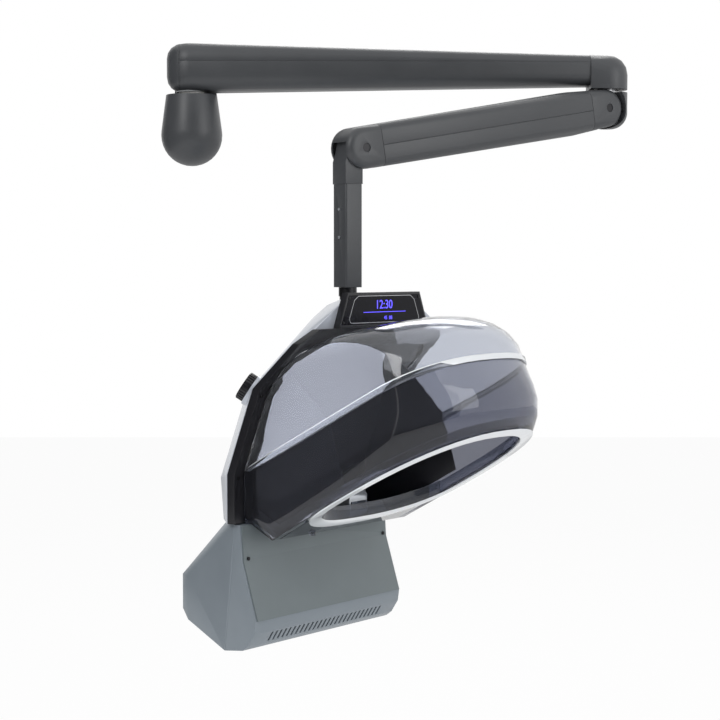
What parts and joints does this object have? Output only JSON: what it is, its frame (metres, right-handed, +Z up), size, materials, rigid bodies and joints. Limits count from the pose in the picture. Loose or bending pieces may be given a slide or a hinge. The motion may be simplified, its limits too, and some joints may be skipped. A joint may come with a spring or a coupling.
{
  "type": "wall-arm hair steamer",
  "caption": "Hair steamer on a wall bracket: jointed arm with a levelled post, a swivelling head with clear smoked hood, white rim, display box, water cap and boiler box.",
  "frame": {"origin": "middle of the wall plate's back face, on the wall, in line with the upper arm's swing axis from the front", "axes": "+Z up, +Y into the wall, and +X along the wall from the bracket to the elbow in the rest pose"},
  "size_m": [0.8165, 0.651, 0.9883],
  "materials": {
    "arm_cover": "satin mid grey",
    "frame_steel": "painted frame steel",
    "bright_steel": "bright steel",
    "dark_steel": "blackened steel",
    "brass": "plain",
    "pale_plastic": "matte",
    "silver_shell": "satin silver",
    "black_plastic": "satin black",
    "clear_hood": "lightly smoked clear plastic",
    "clear_trim": "clear plastic",
    "smoked_visor": "smoked clear plastic",
    "smoked_tray": "smoked clear plastic",
    "light_strip": "glossy white",
    "display_glass": "dark glossy window",
    "circuit_board": "matte",
    "grey_shell": "satin metallic grey",
    "grey_panel": "satin grey",
    "tank_plastic": "matte",
    "bright_plastic": "bright metallised"
  },
  "bodies": {
    "wall_bracket": {"wall_plate": "arm_cover", "pivot_bracket": "frame_steel", "bracket_cover": "arm_cover", "cover_screws": "bright_steel", "wall_spindle": "bright_steel", "wall_washer": "pale_plastic"},
    "upper_arm": {"wall_bushes": "brass", "upper_beam": "frame_steel", "upper_cover_top": "arm_cover", "upper_cover_bottom": "arm_cover", "wall_end_cap": "arm_cover", "elbow_cap": "arm_cover", "elbow_bushes": "brass"},
    "knuckle": {"knuckle": "arm_cover", "elbow_spindle": "bright_steel", "elbow_washer": "bright_steel", "knuckle_tie_pin": "bright_steel"},
    "lower_arm": {"lower_beam": "frame_steel", "lower_cover_top": "arm_cover", "lower_cover_bottom": "arm_cover", "lower_elbow_cap": "arm_cover", "lower_post_cap": "arm_cover", "arm_pins": "bright_steel", "balance_spring": "bright_steel", "spring_rod": "bright_steel", "tension_nuts": "brass"},
    "tie_rod": {"tie_rod": "frame_steel"},
    "post": {"post_head": "arm_cover", "post_sleeve": "arm_cover", "post_screws": "bright_steel", "post_tie_pin": "bright_steel", "swivel_bushes": "brass"},
    "head": {"swivel_spindle": "dark_steel", "swivel_nut": "bright_steel", "head_frame": "frame_steel", "rear_shell": "silver_shell", "bezel": "black_plastic", "inner_liner": "black_plastic", "upper_hood": "clear_hood", "seam_trim": "clear_trim", "visor": "smoked_visor", "drip_tray": "smoked_tray", "rim_light": "light_strip", "display_housing": "black_plastic", "display_window": "display_glass", "display_board": "circuit_board", "lower_rear_shell": "grey_shell", "lower_front_shell": "grey_shell", "front_panel": "grey_panel", "head_screws": "dark_steel", "water_tank": "tank_plastic", "boiler": "bright_steel", "heater": "brass", "steam_pipe": "bright_steel", "steam_outlet": "bright_plastic", "fan_motor": "dark_steel", "control_board": "circuit_board"},
    "filler_cap": {"filler_cap": "black_plastic"},
    "fan_rotor": {"fan_rotor": "black_plastic"}
  },
  "joints": [
    {"name": "arm_swing", "type": "hinge", "parent": "wall_bracket", "child": "upper_arm", "pos_m": [0, -0.08, 0.05], "axis": [0, 0, 1], "range_deg": [-180, 0]},
    {"name": "elbow_swing", "type": "hinge", "parent": "upper_arm", "child": "knuckle", "pos_m": [0.727, -0.08, 0], "axis": [0, 0, 1], "range_deg": [-18, 312]},
    {"name": "arm_tilt", "type": "hinge", "parent": "knuckle", "child": "lower_arm", "pos_m": [0.7111, -0.0904, -0.02], "axis": [-0.5476, 0.8368, 0], "range_deg": [-35, 8]},
    {"name": "tie_link", "type": "hinge", "parent": "knuckle", "child": "tie_rod", "pos_m": [0.7111, -0.0904, -0.04], "axis": [-0.5476, 0.8368, 0], "range_deg": [-35, 8]},
    {"name": "post_level", "type": "hinge", "parent": "lower_arm", "child": "post", "pos_m": [0.28893, -0.36667, -0.10715], "axis": [-0.5476, 0.8368, 0], "range_deg": [-8, 35]},
    {"name": "head_swivel", "type": "hinge", "parent": "post", "child": "head", "pos_m": [0.27554, -0.37543, -0.32685], "axis": [0, 0, 1], "range_deg": [-170, 170]},
    {"name": "filler_turn", "type": "hinge", "parent": "head", "child": "filler_cap", "pos_m": [0.12485, -0.44767, -0.48425], "axis": [-0.8352, 0.0511, 0.5476], "range_deg": [0, 90]},
    {"name": "fan_spin", "type": "hinge", "parent": "head", "child": "fan_rotor", "pos_m": [0.12349, -0.3575, -0.82685], "axis": [0, 0, 1], "continuous": true}
  ],
  "couplings": [
    {"joint": "post_level", "follows": "arm_tilt", "ratio": -1},
    {"joint": "tie_link", "follows": "arm_tilt", "ratio": 1}
  ]
}
